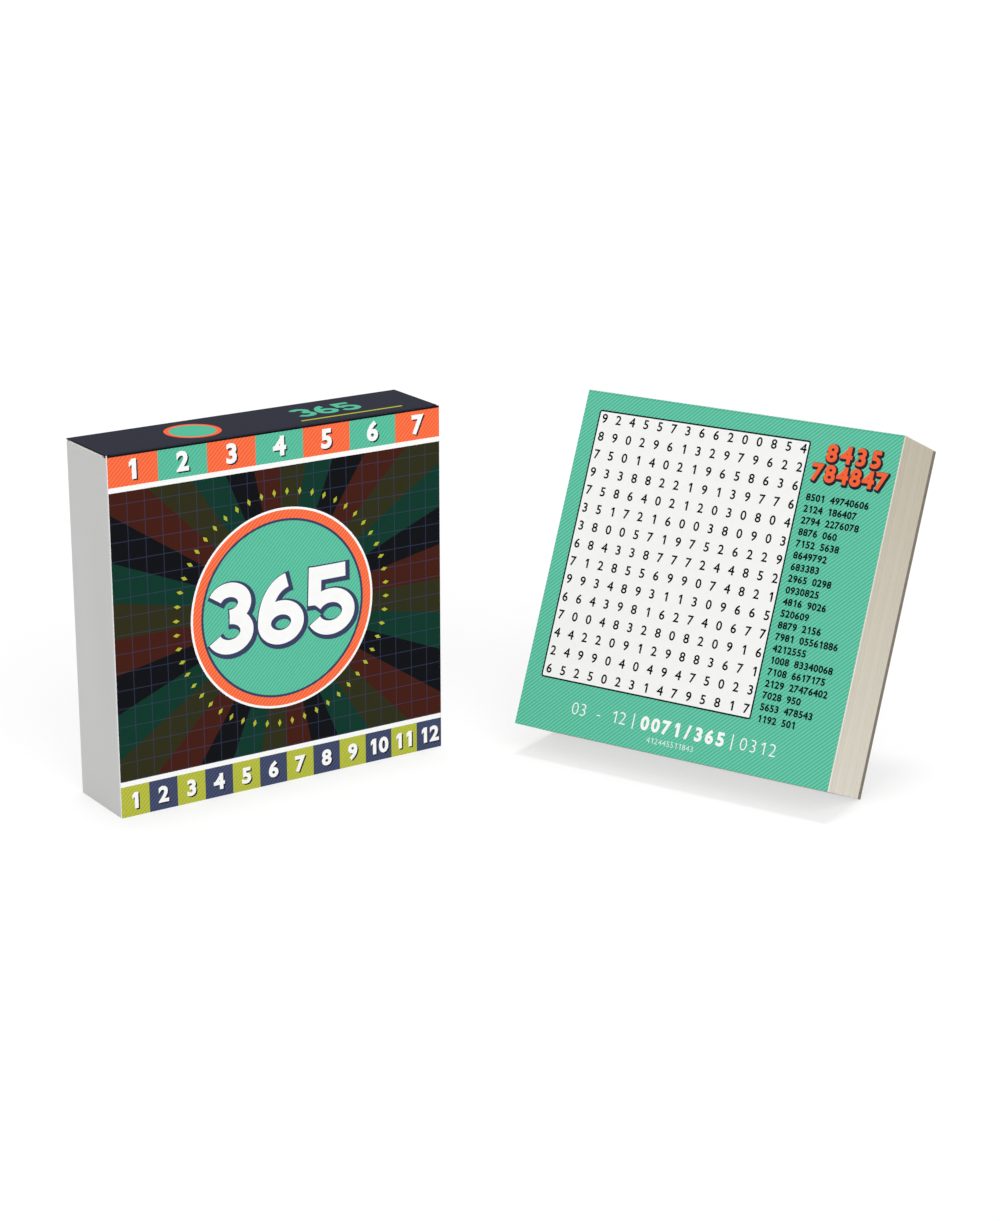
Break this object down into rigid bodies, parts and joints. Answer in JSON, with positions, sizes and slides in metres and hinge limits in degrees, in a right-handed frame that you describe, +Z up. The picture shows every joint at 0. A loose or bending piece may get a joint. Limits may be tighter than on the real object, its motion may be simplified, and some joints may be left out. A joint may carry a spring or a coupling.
{
  "type": "tear-off day calendar",
  "caption": "Square tear-off day calendar: padded paper leaves on a greyboard back with a fold-out easel leg, with its tuck-top carton standing beside it.",
  "frame": {"origin": "middle of the whole set's box, on the surface that both items stand on", "axes": "+Z up; -Y is the way the carton's printed front faces; +X runs to the carton's right, where the calendar stands, turned towards it and leaning back"},
  "size_m": [0.2814, 0.1768, 0.1345],
  "materials": {
    "page_paper": "uncoated cut page edges",
    "printed_leaf": "printed, matte",
    "greyboard": "raw solid greyboard",
    "padding_glue": "dried padding compound",
    "printed_carton": "solid paperboard, printed and varnished",
    "plain_card": "solid paperboard, unprinted"
  },
  "bodies": {
    "calendar": {"back_board": "greyboard", "glue_film": "padding_glue", "january_pad": "page_paper", "february_pad": "page_paper", "march_pad": "page_paper", "april_pad": "page_paper", "may_pad": "page_paper", "june_pad": "page_paper", "july_pad": "page_paper", "august_pad": "page_paper", "september_pad": "page_paper", "october_pad": "page_paper", "november_pad": "page_paper", "december_pad": "page_paper"},
    "easel": {"easel_leg": "greyboard"},
    "today_hinge": {"today_glue_line": "padding_glue"},
    "today_sheet": {"today_leaf": "printed_leaf"},
    "next_sheet": {"next_leaf": "printed_leaf"},
    "third_sheet": {"third_leaf": "printed_leaf"},
    "carton": {"carton_sleeve": "printed_carton", "bottom_outer_flap": "plain_card", "bottom_inner_flap": "plain_card", "bottom_left_flap": "plain_card", "bottom_right_flap": "plain_card"},
    "closure": {"tuck_closure": "printed_carton"},
    "left_flap": {"left_dust_flap": "plain_card"},
    "right_flap": {"right_dust_flap": "plain_card"}
  },
  "joints": [
    {"name": "easel_fold", "type": "hinge", "parent": "calendar", "child": "easel", "pos_m": [0.10478, -0.0002, 0.09537], "axis": [0.3907, -0.9205, 0], "range_deg": [-36, 0]},
    {"name": "today_lift", "type": "hinge", "parent": "calendar", "child": "today_hinge", "pos_m": [0.0894, -0.00674, 0.13208], "axis": [-0.3907, 0.9205, 0], "range_deg": [0, 140]},
    {"name": "tear_off", "type": "slide", "parent": "today_hinge", "child": "today_sheet", "axis": [-0.8442, -0.3583, 0.3987], "range_m": [0, 0.08]},
    {"name": "next_lift", "type": "hinge", "parent": "calendar", "child": "next_sheet", "pos_m": [0.08947, -0.0067, 0.13205], "axis": [-0.3907, 0.9205, 0], "range_deg": [0, 78]},
    {"name": "third_lift", "type": "hinge", "parent": "calendar", "child": "third_sheet", "pos_m": [0.08954, -0.00667, 0.13201], "axis": [-0.3907, 0.9205, 0], "range_deg": [0, 36]},
    {"name": "carton_lift", "type": "slide", "parent": "calendar", "child": "carton", "axis": [0, 0, 1], "range_m": [0, 0.15]},
    {"name": "closure_open", "type": "hinge", "parent": "carton", "child": "closure", "pos_m": [-0.07225, 0.08789, 0.134], "axis": [-1, 0, 0], "range_deg": [0, 120]},
    {"name": "left_flap_open", "type": "hinge", "parent": "carton", "child": "left_flap", "pos_m": [-0.14025, 0.07221, 0.1334], "axis": [0, -1, 0], "range_deg": [0, 97]},
    {"name": "right_flap_open", "type": "hinge", "parent": "carton", "child": "right_flap", "pos_m": [-0.00425, 0.07221, 0.1334], "axis": [0, 1, 0], "range_deg": [0, 97]}
  ],
  "couplings": [
    {"joint": "next_lift", "follows": "today_lift", "ratio": 0.55},
    {"joint": "third_lift", "follows": "today_lift", "ratio": 0.25},
    {"joint": "left_flap_open", "follows": "closure_open", "ratio": 0.8},
    {"joint": "right_flap_open", "follows": "closure_open", "ratio": 0.8}
  ]
}
